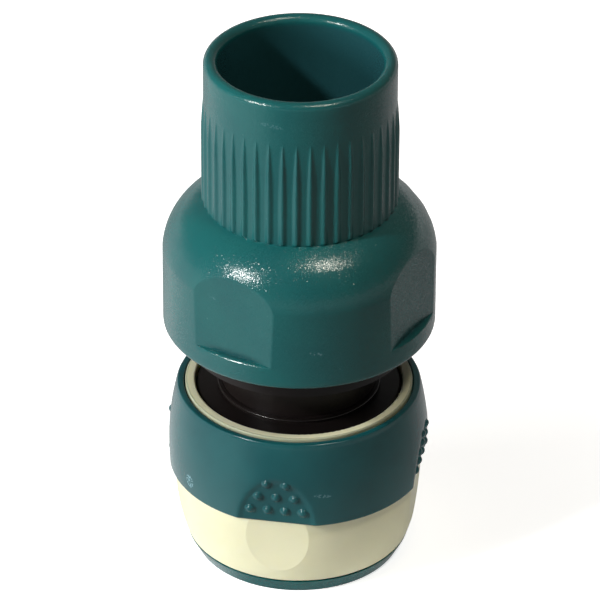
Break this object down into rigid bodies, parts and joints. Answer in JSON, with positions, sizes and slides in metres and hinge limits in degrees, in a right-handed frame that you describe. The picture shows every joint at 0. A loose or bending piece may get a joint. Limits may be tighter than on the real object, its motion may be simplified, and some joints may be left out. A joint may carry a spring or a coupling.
{
  "type": "garden hose quick connector",
  "caption": "Round hose-end quick connector: flatted, ribbed clamping nut over a barbed spigot and a spring-loaded two-colour release sleeve with dotted thumb scoops round a nipple socket.",
  "frame": {"origin": "centre of the foot, on the face that the connector stands on", "axes": "+Z along the axis from the nipple socket towards the hose, -Y the side that the picture shows"},
  "size_m": [0.0422, 0.042, 0.0862],
  "materials": {
    "teal_plastic": "moulded with a fine spark-eroded grain, satin gloss",
    "grip_plastic": "softer overmoulded grip, satin",
    "cream_plastic": "smooth moulded, low gloss",
    "black_plastic": "smooth moulded, satin",
    "grey_plastic": "smooth moulded",
    "seal_rubber": "moulded ring",
    "spring_steel": "drawn stainless wire"
  },
  "bodies": {
    "core": {"nose_ring": "teal_plastic", "socket_body": "black_plastic", "hose_tail": "black_plastic", "tail_seal": "seal_rubber", "sleeve_spring": "spring_steel"},
    "sleeve": {"sleeve_shell": "cream_plastic", "sleeve_grip": "grip_plastic"},
    "jaw_1": {"locking_jaw_1": "grey_plastic"},
    "jaw_2": {"locking_jaw_2": "grey_plastic"},
    "jaw_3": {"locking_jaw_3": "grey_plastic"},
    "jaw_4": {"locking_jaw_4": "grey_plastic"},
    "collet": {"grip_collet": "grey_plastic"},
    "nut": {"clamping_nut": "teal_plastic"}
  },
  "joints": [
    {"name": "sleeve_slide", "type": "slide", "parent": "core", "child": "sleeve", "axis": [0, 0, 1], "range_m": [0, 0.004], "stiffness_N_per_m": 480, "springref_m": -0.012, "deforming": ["sleeve_spring"]},
    {"name": "collet_travel", "type": "slide", "parent": "core", "child": "collet", "axis": [0, 0, 1], "range_m": [-0.005, 0.003]},
    {"name": "nut_turn", "type": "hinge", "parent": "collet", "child": "nut", "pos_m": [0, 0, 0.0477], "axis": [0, 0, 1], "range_deg": [-515, 309]},
    {"name": "jaw_1_slide", "type": "slide", "parent": "core", "child": "jaw_1", "axis": [1, 0, 0], "range_m": [0, 0.0012]},
    {"name": "jaw_2_slide", "type": "slide", "parent": "core", "child": "jaw_2", "axis": [0, 1, 0], "range_m": [0, 0.0012]},
    {"name": "jaw_3_slide", "type": "slide", "parent": "core", "child": "jaw_3", "axis": [-1, 0, 0], "range_m": [0, 0.0012]},
    {"name": "jaw_4_slide", "type": "slide", "parent": "core", "child": "jaw_4", "axis": [0, -1, 0], "range_m": [0, 0.0012]}
  ],
  "couplings": [
    {"joint": "jaw_1_slide", "follows": "sleeve_slide", "ratio": 0.3},
    {"joint": "jaw_2_slide", "follows": "sleeve_slide", "ratio": 0.3},
    {"joint": "jaw_3_slide", "follows": "sleeve_slide", "ratio": 0.3},
    {"joint": "jaw_4_slide", "follows": "sleeve_slide", "ratio": 0.3},
    {"joint": "nut_turn", "follows": "collet_travel", "rad_per_m": 1795.2}
  ]
}
